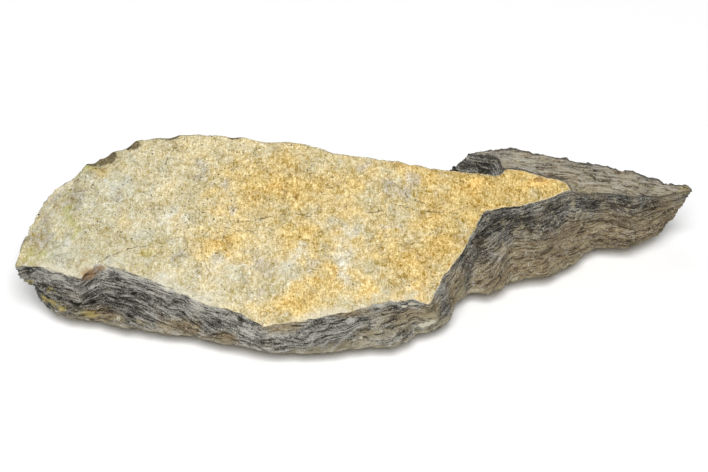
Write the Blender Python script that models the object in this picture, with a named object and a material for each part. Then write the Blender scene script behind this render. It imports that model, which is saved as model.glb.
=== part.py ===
"""Fossil dinosaur bone section: one broken piece of dense limb-bone wall.

The upper face is the bone's old outer skin, a nearly flat sheet that leans towards the front.
All round it the bone is broken off in steep fibrous faces. At the right the break runs on as a
long beak with a flatter roof, parted from the skin by a deep notch at the back.
It lies on its flattest break, with +X along the bone's grain, -Y to the front and +Z up.
"""

import math

import bmesh
import bpy
from mathutils import Vector, noise
from mathutils.geometry import delaunay_2d_cdt

# Sizes and places are in millimetres. The mesh is written in metres.
MM = 0.001

# The skin: its height at the origin, how it climbs along X and Y, its crown across the bone,
# and how far its left end rolls down.
SKIN_HEIGHT = 20.3
SKIN_CLIMB_X = -0.028
SKIN_CLIMB_Y = 0.412
SKIN_CROWN = 1.2
SKIN_HALF_WIDTH = 28.0
ROLL_START_X = -55.0
ROLL_LENGTH = 38.0
ROLL_DROP = 2.2

# The beak's roof, which cuts the skin off at the back right. It is level along X between two
# places, and bends over the ease to a steady slope on each side: down towards the tip, and up
# and out of the bone to the left.
ROOF_HEIGHT = 25.35
ROOF_CLIMB_Y = 0.10
ROOF_LEVEL_X = (30.0, 43.5)
ROOF_SLOPE = 0.21
ROOF_EASE = 8.5
# A shallow scoop in the roof beside the tongue: its fall for each step forward from the back,
# and where along X it starts, is full, starts to fade and ends.
ROOF_SCOOP = 0.114
ROOF_BACK_Y = 26.0
ROOF_SCOOP_X = (35.0, 41.5, 44.0, 62.0)

# Corners of the outline, anticlockwise from the left tip. Each holds the upper edge's x and y,
# the foot's x and y, and how far the break between them swells out (or, below 0, is hollow).
OUTLINE = [
    # left tip, and the front break up to the splinter
    (-91.2, -9.6, -82.8, -10.6, 0.8),
    (-84.5, -10.0, -81.0, -13.6, 1.2),
    (-73.5, -13.5, -75.0, -15.6, 1.4),
    (-69.0, -9.5, -67.0, -18.4, 0.6),
    # front break
    (-57.0, -13.0, -55.0, -20.4, 0.7),
    (-41.0, -19.5, -40.0, -23.6, 0.9),
    (-30.5, -22.5, -30.0, -27.2, 0.9),
    (-24.0, -25.7, -22.5, -28.8, 0.5),
    (-14.0, -24.0, -13.0, -29.2, 0.6),
    (4.0, -20.0, 4.0, -27.2, 0.8),
    (9.5, -18.4, 9.8, -26.8, 0.8),
    (15.0, -17.7, 16.4, -22.8, 0.6),
    (20.2, -18.8, 23.0, -18.6, 0.4),
    # right break, back to the inner corner
    (24.0, -11.4, 26.8, -13.0, 0.6),
    (28.3, -6.2, 29.0, -8.6, 0.8),
    (33.0, 2.2, 30.8, -6.2, 0.4),
    (35.7, 7.1, 34.0, -5.6, -0.8),
    # under the tongue of skin, and along the beak
    (39.6, 8.0, 38.4, -4.4, -1.2),
    (43.6, 8.6, 43.5, 0.0, -1.2),
    (51.0, 10.7, 53.0, 1.2, -1.2),
    (58.4, 13.5, 60.0, 7.0, -1.0),
    (67.5, 13.7, 67.5, 14.4, -0.6),
    (78.0, 14.2, 75.4, 13.0, 0.4),
    (84.4, 16.3, 81.6, 16.6, 0.4),
    (90.5, 18.8, 85.5, 19.4, 0.6),
    # the tip, and the beak's back
    (94.0, 20.8, 87.0, 21.6, 0.4),
    (92.8, 22.8, 85.0, 24.2, 0.6),
    (86.2, 22.2, 81.0, 24.8, 0.6),
    (77.0, 24.2, 74.5, 26.2, 0.8),
    (68.2, 25.2, 66.0, 27.2, 0.8),
    (57.0, 25.8, 55.0, 27.8, 1.0),
    (50.4, 25.9, 48.5, 28.0, 1.0),
    (44.0, 27.2, 42.0, 28.8, 1.0),
    (39.2, 27.2, 36.5, 28.6, 0.6),
    (34.2, 26.0, 31.6, 28.2, 0.4),
    # mouth of the notch, and the back break
    (30.2, 24.0, 27.0, 27.6, 0.2),
    (25.0, 22.0, 23.0, 27.0, 0.2),
    (21.0, 19.7, 18.6, 26.6, 0.4),
    (12.5, 21.1, 11.0, 26.6, 0.8),
    (3.9, 22.3, 3.4, 27.0, 1.0),
    (-5.0, 23.5, -6.0, 27.4, 0.8),
    (-13.8, 26.2, -15.0, 28.0, 0.6),
    (-18.2, 27.0, -19.4, 28.2, 0.6),
    (-24.0, 26.6, -25.0, 28.2, 0.6),
    (-31.5, 27.9, -32.0, 28.2, 0.8),
    (-49.0, 28.0, -48.0, 27.0, 1.0),
    (-56.5, 26.7, -54.5, 25.2, 0.8),
    # chipped back corner and the rolled left end
    (-60.5, 26.2, -58.0, 24.0, 0.6),
    (-64.4, 23.2, -62.0, 21.2, 0.6),
    (-68.7, 22.1, -65.6, 19.4, 0.6),
    (-73.0, 18.9, -69.0, 16.2, 0.6),
    (-77.3, 13.8, -72.4, 11.6, 0.8),
    (-81.6, 11.7, -75.6, 8.4, 0.8),
    (-85.8, 5.6, -78.4, 3.2, 0.8),
    (-89.3, -2.8, -81.2, -3.5, 0.6),
]

# The notch behind the tongue: its front side (the skin's back edge), its end and its back side
# (the beak's dark flank), each with how steeply it falls. It drains out at the back.
NOTCH_FRONT = [(20.0, 19.9), (34.0, 18.1), (39.4, 17.7)]
NOTCH_END = [(39.4, 17.7), (42.0, 19.7)]
NOTCH_BACK = [(42.0, 19.7), (41.6, 22.2), (38.0, 23.8), (31.2, 24.9), (26.0, 28.8), (20.0, 29.4)]
NOTCH_FRONT_FALL = 5.0
NOTCH_END_FALL = 3.0
NOTCH_BACK_FALL = 1.5
NOTCH_BACK_EASE = 2.5
NOTCH_DEPTH = 12.0
# Where creases on the upper face end, short of the outline.
NOTCH_MOUTH_FRONT = (22.4, 19.6)
NOTCH_MOUTH_BACK = (34.6, 24.35)
NOTCH_BED_X = (26.0, 28.5, 31.0, 33.5, 36.0, 38.5)
NOTCH_BED_Y_RANGE = (17.0, 24.0)
SKIN_END_X = (43.9, 46.1, 48.5, 50.9, 53.3, 55.8, 58.2)
SKIN_END_Y_RANGE = (10.0, 25.0)

# Flakes knocked off the skin: x, y, radius and depth.
FLAKES = [
    (-69.8, 21.4, 4.2, 1.0),
    (-61.8, 25.0, 2.8, 0.8),
    (-51.0, 27.8, 2.8, 0.7),
    (-33.0, 27.8, 2.0, 0.5),
    (63.0, 15.0, 4.0, 1.3),
]
FLAKE_STEEPNESS = 1.6

# Relief, each with its height, the size of its swells and the seed of its noise.
SKIN_WAVE = (0.35, 17.0, 3.0)
ROOF_WAVE = (0.45, 7.0, 3.0)
BREAK_LUMP = (1.0, 8.0, 5.0)
EDGE_JITTER = (0.28, 4.0, 21.0)
FOOT_JITTER = (0.8, 7.0, 43.0)
# Ledges in the break run along the grain: their height, their drop and their length.
BREAK_LEDGE = (1.3, 3.4, 24.0)
# Pockets in the front break: x, y, z, radius and depth.
POCKETS = [
    (17.0, -22.0, 7.0, 4.5, 1.5),
    (-62.0, -18.0, 6.0, 4.0, 1.0),
    (-34.0, -26.0, 5.5, 3.5, 0.8),
]
# Relief fades out over this share of the break next to its upper edge and its foot.
FADE_SHARE = 0.25
# How far relief may push up or down as well as out, as a share.
LIFT_SHARE = 0.5

# The lower edge hangs a little above the floor: how high, how far it is moved forward from the
# outline's foot where it faces forward, and how far in from it the underside comes down to rest.
EDGE_LIFT = 4.3
EDGE_FORWARD = 1.6
EDGE_REACH = 13.0

# The underside: hollows in it, how high they may be, and the flat pad about the middle.
HOLLOW_WAVE = (1.3, 21.0, 11.0)
HOLLOW_LIMIT = 1.3
PAD_RADIUS = 13.0

# Mesh spacing, and how far the points inside a face are moved off a regular grid.
OUTLINE_STEP = 2.1
SKIN_STEP = 2.6
UNDERSIDE_STEP = 5.2
BREAK_ROWS = 10
GRID_JITTER = 0.25
GRID_JITTER_SIZE = 1.3
GRID_SEED = 60.0
GRID_CLEARANCE = 0.55
SEARCH_STEPS = 30

# How the triangulation is asked to drop what lies outside the outline, and its merge distance.
KEEP_INSIDE = 1
NEAR = 1e-5

# Brings the noise used for relief to about -1 to 1.
NOISE_GAIN = 1.2

BONE_COLOUR = (0.42, 0.36, 0.26, 1.0)


def wave(x, y, z, relief):
    """Smooth swells at the height, size and seed that relief gives."""
    height, size, seed = relief
    place = Vector((x, y, z)) / size + Vector((seed, 0.0, -seed))
    return height * NOISE_GAIN * noise.fractal(place, 1.0, 2.0, 2)


def ramp(value, start, length):
    """0 before start, growing to 1 at start + length and on at the same rate."""
    return max(0.0, (value - start) / length)


def eased(distance, ease):
    """A distance of 0 or more that starts slowly, as over a rounded edge of that size."""
    return distance * distance / (distance + ease)


def smooth(value):
    """Smooth step of a value held between 0 and 1."""
    held = min(1.0, max(0.0, value))
    return held * held * (3.0 - 2.0 * held)


def distance_to_path(x, y, path):
    """Shortest distance in plan from a point to a path of straight runs."""
    best = math.inf
    for (ax, ay), (bx, by) in zip(path, path[1:]):
        run = Vector((bx - ax, by - ay))
        offset = Vector((x - ax, y - ay))
        share = min(1.0, max(0.0, offset.dot(run) / run.length_squared))
        best = min(best, (offset - run * share).length)
    return best


def inside(x, y, loop):
    """True if the point lies in the closed loop, in plan."""
    found = False
    for (ax, ay), (bx, by) in zip(loop, loop[1:] + loop[:1]):
        if (ay > y) != (by > y) and x < ax + (y - ay) * (bx - ax) / (by - ay):
            found = not found
    return found


def skin(x, y):
    """Height of the bone's old outer skin, before waves and flakes."""
    crown = SKIN_CROWN * (y / SKIN_HALF_WIDTH) ** 2
    roll = ROLL_DROP * ramp(-x, -ROLL_START_X, ROLL_LENGTH) ** 2
    return SKIN_HEIGHT + SKIN_CLIMB_X * x + SKIN_CLIMB_Y * y - crown - roll


def roof(x, y):
    """Height of the beak's roof, before waves."""
    left, right = ROOF_LEVEL_X
    rise = eased(max(0.0, left - x), ROOF_EASE) - eased(max(0.0, x - right), ROOF_EASE)
    start, full, fade, end = ROOF_SCOOP_X
    share = smooth((x - start) / (full - start)) * smooth((end - x) / (end - fade))
    scoop = ROOF_SCOOP * share * max(0.0, ROOF_BACK_Y - y)
    return ROOF_HEIGHT + ROOF_CLIMB_Y * y + ROOF_SLOPE * rise - scoop


def notch_front(x, y):
    """How far the notch's front side has fallen at this point."""
    return NOTCH_FRONT_FALL * distance_to_path(x, y, NOTCH_FRONT)


def notch_back(x, y):
    """How far the notch's back side has fallen at this point."""
    return NOTCH_BACK_FALL * eased(distance_to_path(x, y, NOTCH_BACK), NOTCH_BACK_EASE)


def notch(x, y):
    """Depth of the notch below the faces round it."""
    if not inside(x, y, NOTCH_FRONT + NOTCH_BACK):
        return 0.0
    end = NOTCH_END_FALL * distance_to_path(x, y, NOTCH_END)
    return min(NOTCH_DEPTH, notch_front(x, y), end, notch_back(x, y))


def top(x, y):
    """Height of the upper surface: skin or roof, whichever is lower, with its relief."""
    gap = skin(x, y) - roof(x, y)
    relief = SKIN_WAVE if gap <= 0.0 else ROOF_WAVE
    height = min(skin(x, y), roof(x, y)) + wave(x, y, 0.0, relief) * smooth(abs(gap))
    for flake_x, flake_y, radius, depth in FLAKES:
        reach = math.hypot(x - flake_x, y - flake_y) / radius
        height -= depth * smooth(FLAKE_STEEPNESS * (1.0 - reach))
    return height - notch(x, y)


def underside(x, y):
    """Height of the underside within its edges: flat where it rests, with hollows between."""
    hollow = min(HOLLOW_LIMIT, max(0.0, wave(x, y, 0.0, HOLLOW_WAVE)))
    return hollow * smooth((math.hypot(x, y) - PAD_RADIUS) / PAD_RADIUS)


def jittered(x, y, jitter):
    """The point moved in plan by small irregularities."""
    height, size, seed = jitter
    return (
        x + wave(x, y, 0.0, jitter),
        y + wave(x, y, 0.0, (height, size, seed + 7.0)),
    )


def stations():
    """Close-set stations round the outline: (upper edge x and y, foot x and y, swell)."""
    found = []
    for here, there in zip(OUTLINE, OUTLINE[1:] + OUTLINE[:1]):
        edge_run = math.dist(here[:2], there[:2])
        foot_run = math.dist(here[2:4], there[2:4])
        count = max(1, math.ceil(max(edge_run, foot_run) / OUTLINE_STEP))
        for k in range(count):
            t = k / count
            found.append([a + (b - a) * t for a, b in zip(here, there)])
    ring = []
    for edge_x, edge_y, foot_x, foot_y, swell in found:
        edge = jittered(edge_x, edge_y, EDGE_JITTER)
        foot = jittered(foot_x, foot_y, FOOT_JITTER)
        ring.append((edge, foot, swell))
    return ring


def straight_break(ring):
    """Columns of points from the upper edge down to the foot, swollen but without relief."""
    columns = []
    count = len(ring)
    for k, (edge, foot, swell) in enumerate(ring):
        before, after = ring[k - 1][0], ring[(k + 1) % count][0]
        along = Vector((after[0] - before[0], after[1] - before[1], 0.0)).normalized()
        outward = Vector((along.y, -along.x, 0.0))
        start = Vector((*edge, top(*edge)))
        foot_y = foot[1] + EDGE_FORWARD * min(0.0, outward.y)
        end = Vector((foot[0], foot_y, EDGE_LIFT + underside(foot[0], foot_y)))
        column = []
        for row in range(BREAK_ROWS + 1):
            s = row / BREAK_ROWS
            bow = swell * math.sin(math.pi * s)
            column.append(start.lerp(end, s) + outward * bow)
        columns.append(column)
    return columns


def break_relief(point, s):
    """How far the broken face stands out at this point: lumps, ledges along the grain, pockets."""
    height, drop, length = BREAK_LEDGE
    depth = skin(point.x, point.y) - point.z
    relief = wave(*point, BREAK_LUMP)
    relief += height * noise.noise(Vector((point.x / length, point.y / length, depth / drop)))
    for x, y, z, radius, pocket in POCKETS:
        reach = (point - Vector((x, y, z))).length / radius
        relief -= pocket * smooth(1.0 - reach)
    return relief * smooth(s / FADE_SHARE) * smooth((1.0 - s) / FADE_SHARE)


def rough_break(ring):
    """The broken faces' points, moved in and out by their relief."""
    columns = straight_break(ring)
    count = len(columns)
    rough = [[point.copy() for point in column] for column in columns]
    for k, column in enumerate(columns):
        before, after = columns[k - 1], columns[(k + 1) % count]
        for row in range(1, BREAK_ROWS):
            along = after[row] - before[row]
            down = column[row + 1] - column[row - 1]
            outward = down.cross(along).normalized()
            outward.z = max(-LIFT_SHARE, min(LIFT_SHARE, outward.z))
            rough[k][row] += outward * break_relief(column[row], row / BREAK_ROWS)
    return rough


def grid_inside(loop, spacing, keep_off):
    """Points of a jittered triangular grid in the loop, clear of it and of the keep_off paths."""
    paths = [loop + loop[:1], *keep_off]
    jitter = (spacing * GRID_JITTER, spacing * GRID_JITTER_SIZE, GRID_SEED)
    low_x, high_x = min(p[0] for p in loop), max(p[0] for p in loop)
    low_y, high_y = min(p[1] for p in loop), max(p[1] for p in loop)
    row_gap = spacing * math.sqrt(0.75)
    found = []
    for row in range(math.ceil((high_y - low_y) / row_gap) + 1):
        for column in range(math.ceil((high_x - low_x) / spacing) + 1):
            x = low_x + (column + 0.5 * (row % 2)) * spacing
            y = low_y + row * row_gap
            x, y = jittered(x, y, jitter)
            near = min(distance_to_path(x, y, path) for path in paths)
            if near > spacing * GRID_CLEARANCE and inside(x, y, loop):
                found.append((x, y))
    return found


def evenly(path, spacing):
    """The path with points added so that none are further apart than spacing."""
    found = [path[0]]
    for here, there in zip(path, path[1:]):
        count = max(1, math.ceil(math.dist(here, there) / spacing))
        for k in range(1, count + 1):
            t = k / count
            found.append(tuple(a + (b - a) * t for a, b in zip(here, there)))
    return found


def meeting_line(places, y_range, first, second):
    """For each x in places, the point up to which first(x, y) stays below second(x, y)."""
    found = []
    for x in places:
        low, high = y_range
        for _ in range(SEARCH_STEPS):
            middle = (low + high) / 2.0
            if first(x, middle) < second(x, middle):
                low = middle
            else:
                high = middle
        found.append((x, low))
    return found


def top_creases():
    """Sharp lines on the upper face: the notch's rim, its bed, and where skin and roof meet."""
    front = evenly([NOTCH_MOUTH_FRONT, *NOTCH_FRONT[1:]], SKIN_STEP)
    back = evenly([*NOTCH_END, *NOTCH_BACK[1:3], NOTCH_MOUTH_BACK], SKIN_STEP)
    bed = meeting_line(NOTCH_BED_X, NOTCH_BED_Y_RANGE, notch_front, notch_back)
    return [front + back[1:], bed, meeting_line(SKIN_END_X, SKIN_END_Y_RANGE, skin, roof)]


def cap(mesh, loop, verts, height, spacing, creases, faces_down):
    """Fills the loop, whose vertices are given, with triangles at the heights that height() gives."""
    points = list(loop)
    lines = [(k, (k + 1) % len(loop)) for k in range(len(loop))]
    for crease in creases:
        first = len(points)
        points += crease
        lines += [(first + k, first + k + 1) for k in range(len(crease) - 1)]
    points += grid_inside(loop, spacing, creases)
    flat = [Vector(point) for point in points]
    ring = [list(range(len(loop)))]
    found, _, triangles, origins, *_ = delaunay_2d_cdt(flat, lines, ring, KEEP_INSIDE, NEAR)
    made = []
    for place, origin in zip(found, origins):
        on_loop = [k for k in origin if k < len(loop)]
        if on_loop:
            made.append(verts[on_loop[0]])
        else:
            made.append(mesh.verts.new((place.x * MM, place.y * MM, height(*place) * MM)))
    for triangle in triangles:
        corners = [made[k] for k in triangle]
        mesh.faces.new(corners[::-1] if faces_down else corners)


def build_bone():
    """The whole bone section as one closed mesh."""
    columns = rough_break(stations())
    mesh = bmesh.new()
    grid = [[mesh.verts.new(point * MM) for point in column] for column in columns]
    count = len(grid)
    for k in range(count):
        here, there = grid[k], grid[(k + 1) % count]
        for row in range(BREAK_ROWS):
            mesh.faces.new((here[row], here[row + 1], there[row + 1], there[row]))
    upper = [(column[0].x, column[0].y) for column in columns]
    lower = [(column[-1].x, column[-1].y) for column in columns]

    def rounded_underside(x, y):
        inset = distance_to_path(x, y, lower + lower[:1])
        return underside(x, y) + EDGE_LIFT * (1.0 - smooth(inset / EDGE_REACH))

    cap(mesh, upper, [column[0] for column in grid], top, SKIN_STEP, top_creases(), False)
    cap(mesh, lower, [column[-1] for column in grid], rounded_underside, UNDERSIDE_STEP, [], True)
    bmesh.ops.triangulate(mesh, faces=mesh.faces)
    return mesh


def centre(mesh):
    """Moves the mesh so that the middle of its footprint's box stands over the origin."""
    for axis in (0, 1):
        places = [vert.co[axis] for vert in mesh.verts]
        shift = (min(places) + max(places)) / 2.0
        for vert in mesh.verts:
            vert.co[axis] -= shift


def stone_material():
    """Plain mid-brown stone, as dull as weathered bone."""
    material = bpy.data.materials.new("fossil_bone")
    material.use_nodes = True
    shader = material.node_tree.nodes["Principled BSDF"]
    shader.inputs["Base Color"].default_value = BONE_COLOUR
    shader.inputs["Roughness"].default_value = 0.8
    shader.inputs["Metallic"].default_value = 0.0
    return material


def main():
    for item in list(bpy.data.objects):
        bpy.data.objects.remove(item)
    collection = bpy.data.collections.new("fossil_dinosaur_bone_section")
    bpy.context.scene.collection.children.link(collection)
    mesh = bpy.data.meshes.new("bone_section")
    solid = build_bone()
    centre(solid)
    solid.to_mesh(mesh)
    solid.free()
    mesh.materials.append(stone_material())
    collection.objects.link(bpy.data.objects.new("bone_section", mesh))


main()
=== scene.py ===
"""Fossil bone section: finishes the broken piece of limb-bone wall and sets its stage.

Run as a script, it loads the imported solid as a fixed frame, builds the finished bone over it with
its ledges, fibres, pores and cracks, colours it, and adds a pale floor, soft lights and a camera.
"""

import math
from statistics import mean

import bmesh
import bpy
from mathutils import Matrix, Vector, kdtree, noise


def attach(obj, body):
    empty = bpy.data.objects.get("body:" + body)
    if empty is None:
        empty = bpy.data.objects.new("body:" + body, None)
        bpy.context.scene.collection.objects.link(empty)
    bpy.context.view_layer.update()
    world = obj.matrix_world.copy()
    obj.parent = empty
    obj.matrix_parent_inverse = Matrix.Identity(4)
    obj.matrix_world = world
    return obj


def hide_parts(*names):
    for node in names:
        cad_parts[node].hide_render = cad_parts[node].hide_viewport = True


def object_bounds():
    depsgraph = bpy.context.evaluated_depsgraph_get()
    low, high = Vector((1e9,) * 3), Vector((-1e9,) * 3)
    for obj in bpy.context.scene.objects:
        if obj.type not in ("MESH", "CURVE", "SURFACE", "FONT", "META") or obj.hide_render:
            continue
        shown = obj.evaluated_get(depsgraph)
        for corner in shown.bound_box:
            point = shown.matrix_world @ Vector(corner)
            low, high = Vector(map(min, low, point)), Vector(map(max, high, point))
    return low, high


bl_info = {
    "name": "Fossil bone section",
    "version": (1, 0, 0),
    "blender": (4, 5, 0),
    "location": "View3D > Sidebar > Fossil",
    "description": "Builds a finished fossil bone section over its solid, and its stage",
    "category": "Object",
}

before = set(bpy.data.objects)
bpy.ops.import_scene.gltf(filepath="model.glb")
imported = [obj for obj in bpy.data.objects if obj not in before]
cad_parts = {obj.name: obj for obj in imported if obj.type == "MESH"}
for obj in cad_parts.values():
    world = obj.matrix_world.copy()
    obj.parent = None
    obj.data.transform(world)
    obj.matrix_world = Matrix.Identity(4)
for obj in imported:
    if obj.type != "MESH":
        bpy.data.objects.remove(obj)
cad_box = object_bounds()

SOLID = "bone_section"
BODY = "root"

# Places below are in millimetres from the outline's own origin. MIDDLE is where the solid's
# origin lies in them.
MM = 0.001
MIDDLE = (1.485, -0.705)

# The bone's outer skin: its height at the origin, its climb along X and Y, its crown across the
# bone, and how far its left end rolls down.
SKIN_HEIGHT, SKIN_CLIMB_X, SKIN_CLIMB_Y = 20.3, -0.028, 0.412
SKIN_CROWN, SKIN_HALF_WIDTH = 1.2, 28.0
ROLL_START, ROLL_LENGTH, ROLL_DROP = 55.0, 38.0, 2.2
# The beak's roof: level along X between two places, with a steady slope beyond each, and a
# shallow scoop beside the tongue, which starts, is full, starts to fade and ends along X.
ROOF_HEIGHT, ROOF_CLIMB_Y = 25.35, 0.10
ROOF_LEVEL_X, ROOF_SLOPE, ROOF_EASE = (30.0, 43.5), 0.21, 8.5
ROOF_SCOOP, ROOF_BACK_Y, ROOF_SCOOP_X = 0.114, 26.0, (35.0, 41.5, 44.0, 62.0)

# The solid's relief in them, each with its height, the size of its swells and its seed, and the
# flakes knocked off: x, y, radius and depth.
SKIN_WAVE, ROOF_WAVE, NOISE_GAIN = (0.35, 17.0, 3.0), (0.45, 7.0, 3.0), 1.2
FLAKES = [
    (-69.8, 21.4, 4.2, 1.0), (-61.8, 25.0, 2.8, 0.8), (-51.0, 27.8, 2.8, 0.7),
    (-33.0, 27.8, 2.0, 0.5), (63.0, 15.0, 4.0, 1.3),
]
FLAKE_STEEPNESS = 1.6

# How closely a face's corners follow the top to count as part of it, and how closely they do
# behind the line where level faces lead into the notch. Then how far down the underside's faces
# look, and how low they lie, and the place along X past which the top is all roof.
TOP_REACH = 0.004
LEVEL, LEVEL_REACH, LEVEL_START_Y = 0.89, 0.8, 10.0
UNDERSIDE_LEVEL, UNDERSIDE_REACH = 0.7, 5.9
TONGUE_END_X = 59.6
# How high the lower edge hangs above the floor.
EDGE_LIFT = 4.3
# The solid's corners closer than this, in metres, are one, and triangles that meet flatter than
# this are joined in pairs.
MERGE_DISTANCE = 1e-6
JOIN_ANGLE = math.radians(35.0)
# The map that the colours are baked through: where it is cut, and the gap between its islands.
MAP_ANGLE, MAP_MARGIN = math.radians(60.0), 0.006
# How finely the surface is subdivided, and the rounds that pull it back onto the solid's own
# corners.
LEVELS = 2
FIT_ROUNDS = 3

SKIN, ROOF, BREAK, UNDERSIDE = range(4)
ZONES = {"rim": SKIN, "roof": ROOF, "underside": UNDERSIDE}
EDGE_CREASE = 1.0
# The way that the streaks run along the beak's roof, and along the left end of the skin.
CREST_TURN = math.radians(6.0)
END_TURN = math.radians(-50.0)
# The rise of the torn flakes' edges on the right, from level.
FLAKE_RISE = math.radians(40.0)

# Soft patches of colour: x, y, radius along x, radius along y, on the skin.
WARM_PATCHES = [
    (-10.0, 13.5, 6.8, 4.0), (-31.5, 18.0, 8.5, 4.6), (-40.0, 10.5, 6.8, 2.3),
    (-19.0, 20.5, 5.7, 3.4), (-14.5, -1.0, 7.4, 4.6), (12.5, -8.5, 6.3, 4.6),
    (-6.5, -12.5, 5.7, 3.4), (21.0, 16.0, 4.0, 2.6), (34.0, 13.5, 10.0, 5.5),
    (49.0, 15.5, 10.0, 6.0), (-15.5, -20.0, 6.3, 5.1), (23.5, -1.5, 4.6, 6.8),
    (-56.0, -6.5, 3.4, 2.8), (-71.0, 17.0, 5.1, 1.7), (-36.0, -2.5, 8.5, 5.7),
    (-22.0, 12.0, 18.0, 10.0), (52.0, 16.0, 8.0, 6.0),
]
PALE_PATCHES = [
    (-61.5, -7.5, 5.1, 3.4), (-58.0, -0.5, 4.6, 2.8), (-54.5, -14.0, 11.4, 2.3),
    (-1.0, 1.0, 4.0, 2.8), (-18.0, -8.5, 4.0, 3.4), (-2.5, -8.0, 4.6, 6.8),
    (-76.5, -6.0, 5.7, 4.6), (-44.0, -18.0, 8.5, 2.3), (-66.5, 12.5, 5.7, 4.0),
    (12.5, -16.5, 9.7, 1.7), (-50.0, 4.0, 4.6, 2.8), (-36.0, -9.5, 4.6, 4.0),
]
GREY_PATCHES = [
    (-83.5, 1.5, 2.8, 7.4), (-71.0, 6.0, 2.3, 2.8), (-63.5, 7.5, 3.4, 3.4),
    (-42.5, 17.0, 2.3, 2.8), (-36.5, 12.0, 2.3, 2.8), (-32.0, 5.0, 2.3, 1.7),
    (-47.0, -7.0, 1.7, 3.4), (3.0, 20.0, 2.8, 1.7), (12.0, 13.5, 6.3, 4.0),
    (-12.0, -7.0, 3.4, 2.3), (-26.0, -11.0, 4.6, 3.4), (-26.5, -17.5, 3.4, 2.3),
    (-76.0, 8.5, 2.8, 4.6), (10.0, 1.0, 4.0, 2.3),
]
MOSS_PATCHES = [
    (-78.0, 12.0, 1.8, 3.2), (-78.0, 6.0, 1.6, 4.0), (-77.0, 0.0, 1.6, 3.5),
    (-74.0, 18.0, 4.5, 2.6), (-56.0, -6.5, 3.0, 1.4), (-86.5, -6.0, 2.5, 4.0),
]
# Where the painted highlight lies as a pale band along the front rims: x, y, radius along x, radius
# along y.
RIM_HIGHLIGHT_PATCHES = [
    (-46.0, -17.0, 22.0, 7.0), (-76.0, -11.0, 14.0, 3.5), (0.0, -22.0, 26.0, 3.4),
]
PORE_PATCHES = [(-62.0, 8.0, 16.0, 11.0), (-40.0, 2.0, 12.0, 10.0), (-30.0, 20.0, 20.0, 7.0)]

# Soft patches on the breaks: x, y, z, and the radius along each.
BROWN_PATCHES = [
    (-66.0, -17.0, 6.2, 8.0, 3.0, 2.4), (-45.2, -22.9, 6.7, 6.5, 3.0, 1.8),
    (-34.5, -25.5, 6.2, 7.0, 3.0, 1.8), (-18.9, -25.4, 9.5, 5.5, 2.5, 1.5),
    (-2.4, -21.7, 10.9, 6.5, 2.0, 1.0), (52.0, 5.0, 7.5, 13.0, 6.0, 5.5),
    (62.0, 10.7, 9.5, 8.0, 5.0, 6.0), (74.0, 14.0, 10.0, 12.0, 5.0, 6.0),
    (85.0, 17.5, 11.5, 8.0, 5.0, 6.0), (37.0, -2.0, 6.0, 7.0, 5.0, 4.0),
    (27.5, -10.5, 8.5, 4.0, 7.0, 6.0), (10.0, 27.0, 8.5, 60.0, 6.0, 5.0),
    (13.0, -21.0, 8.8, 8.0, 3.0, 2.2), (21.5, -19.0, 9.0, 4.0, 3.0, 3.0),
    (-80.0, 8.0, 7.5, 8.0, 14.0, 5.0),
]
TAN_PATCHES = [
    (6.0, -24.5, 6.3, 7.0, 3.0, 2.0), (13.0, -22.5, 7.2, 5.5, 3.0, 2.4),
    (20.4, -19.8, 7.6, 4.5, 3.0, 3.2), (28.0, -10.0, 7.5, 3.0, 7.0, 4.5),
    (65.0, 15.2, 23.1, 5.5, 1.8, 1.3), (91.5, 20.8, 18.7, 4.0, 3.5, 1.8),
    (45.8, 21.8, 27.4, 3.0, 1.6, 1.6), (79.0, 19.6, 21.3, 3.4, 1.2, 1.0),
    (50.0, 3.0, 5.0, 9.0, 3.0, 2.0), (78.0, 15.5, 5.0, 7.0, 3.0, 2.0),
    (-74.3, -16.8, 6.3, 2.2, 2.0, 1.0), (-63.4, -18.6, 6.1, 1.8, 2.0, 1.1),
    (-57.4, -20.5, 6.4, 2.4, 2.0, 0.9), (-50.6, -21.7, 6.0, 2.6, 2.0, 0.9),
]
# Dark patches: on the notch's flank and under the tongue's rim they are painted shade; low on the
# front-left wall they are darker patches.
SHADE_AND_DARK_PATCHES = [
    (35.0, 22.5, 25.5, 8.0, 3.0, 3.5), (29.0, 23.0, 24.0, 4.0, 3.0, 3.0),
    (47.0, 7.5, 18.5, 9.0, 3.5, 3.0), (55.0, 11.0, 19.5, 6.0, 3.0, 2.4),
    (65.0, 13.9, 20.1, 6.5, 2.0, 2.2), (73.2, 13.9, 19.3, 5.5, 2.0, 2.2),
    (82.0, 15.3, 17.5, 4.5, 2.0, 1.8), (40.0, 6.5, 19.5, 6.0, 3.0, 3.2),
    (34.4, 2.8, 15.5, 3.0, 6.0, 5.0), (31.0, -3.0, 16.5, 3.0, 4.0, 3.0),
    (-84.6, -12.4, 11.4, 1.8, 2.0, 1.4), (-79.0, -15.3, 10.7, 1.6, 2.0, 1.1),
    (-74.9, -16.7, 9.5, 1.6, 2.0, 1.1), (-70.5, -16.4, 8.1, 1.5, 2.0, 1.0),
    (-66.1, -17.1, 8.0, 1.5, 2.0, 0.9), (-61.0, -15.6, 9.5, 9.0, 3.0, 2.4),
]
GOLD_PATCHES = [
    (-81.7, -13.8, 12.3, 2.2, 2.0, 1.2), (-80.9, -14.3, 8.1, 2.2, 2.0, 1.0),
    (-83.7, -12.8, 8.5, 1.4, 2.0, 0.9), (-78.7, -15.4, 6.8, 1.6, 2.0, 0.9),
    (-71.0, -17.0, 6.2, 2.2, 2.0, 1.0), (91.5, 21.0, 18.8, 3.0, 3.0, 1.8),
    (-87.3, -11.0, 12.0, 1.8, 2.0, 1.8),
]
FEATHER_PATCHES = [
    (-66.0, -11.0, 16.5, 4.0, 3.0, 2.0), (-60.0, -13.0, 15.7, 6.0, 3.0, 2.4),
    (-50.0, -16.5, 14.3, 6.0, 3.0, 2.4), (-40.0, -20.0, 12.9, 5.0, 3.0, 2.0),
    (-80.0, -11.5, 15.0, 6.0, 3.0, 1.6),
]
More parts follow.
